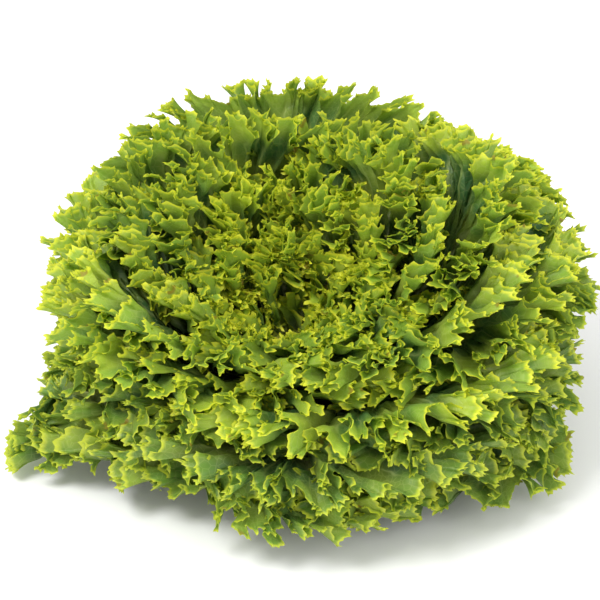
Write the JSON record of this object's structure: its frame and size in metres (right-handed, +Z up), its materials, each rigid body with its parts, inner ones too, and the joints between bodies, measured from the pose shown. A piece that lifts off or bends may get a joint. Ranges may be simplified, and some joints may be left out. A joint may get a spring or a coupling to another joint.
{
  "type": "lollo bionda lettuce",
  "caption": "Head of frilly pale green loose-leaf lettuce: ruffled, toothed leaves in a golden-angle spiral round a short cut stem, resting on the cut face and its outer leaves.",
  "frame": {"origin": "centre of the cut stem face that the head stands on", "axes": "+Z up, from the cut stem towards the heart; -Y is the front, where the head leans and shows its heart; +X is the head's right as seen from the front"},
  "size_m": [0.2738, 0.266, 0.1609],
  "materials": {
    "outer_green": "waxy fresh leaf, mid green with a yellow-green rim",
    "middle_green": "waxy fresh leaf, yellow-green with a bright rim",
    "heart_green": "tender leaf, pale yellow-green",
    "stem_white": "moist cut stem, cream with a browned edge"
  },
  "bodies": {
    "root": {"stem": "stem_white", "outer_leaf_01": "outer_green", "outer_leaf_02": "outer_green", "outer_leaf_03": "outer_green", "outer_leaf_04": "outer_green", "outer_leaf_05": "outer_green", "outer_leaf_06": "outer_green", "outer_leaf_07": "outer_green", "outer_leaf_08": "outer_green", "outer_leaf_09": "outer_green", "outer_leaf_10": "outer_green", "outer_leaf_11": "outer_green", "outer_leaf_12": "outer_green", "outer_leaf_13": "outer_green", "outer_leaf_14": "outer_green", "outer_leaf_15": "outer_green", "outer_leaf_16": "outer_green", "outer_leaf_17": "outer_green", "outer_leaf_18": "outer_green", "middle_leaf_01": "middle_green", "middle_leaf_02": "middle_green", "middle_leaf_03": "middle_green", "middle_leaf_04": "middle_green", "middle_leaf_05": "middle_green", "middle_leaf_06": "middle_green", "middle_leaf_07": "middle_green", "middle_leaf_08": "middle_green", "middle_leaf_09": "middle_green", "middle_leaf_10": "middle_green", "middle_leaf_11": "middle_green", "middle_leaf_12": "middle_green", "middle_leaf_13": "middle_green", "middle_leaf_14": "middle_green", "middle_leaf_15": "middle_green", "middle_leaf_16": "middle_green", "middle_leaf_17": "middle_green", "middle_leaf_18": "middle_green", "middle_leaf_19": "middle_green", "middle_leaf_20": "middle_green", "middle_leaf_21": "middle_green", "middle_leaf_22": "middle_green", "heart_leaf_01": "heart_green", "heart_leaf_02": "heart_green", "heart_leaf_03": "heart_green", "heart_leaf_04": "heart_green", "heart_leaf_05": "heart_green", "heart_leaf_06": "heart_green", "heart_leaf_07": "heart_green", "heart_leaf_08": "heart_green", "heart_leaf_09": "heart_green", "heart_leaf_10": "heart_green", "heart_leaf_11": "heart_green", "heart_leaf_12": "heart_green", "heart_leaf_13": "heart_green", "heart_leaf_14": "heart_green", "heart_leaf_15": "heart_green", "heart_leaf_16": "heart_green"}
  },
  "joints": []
}
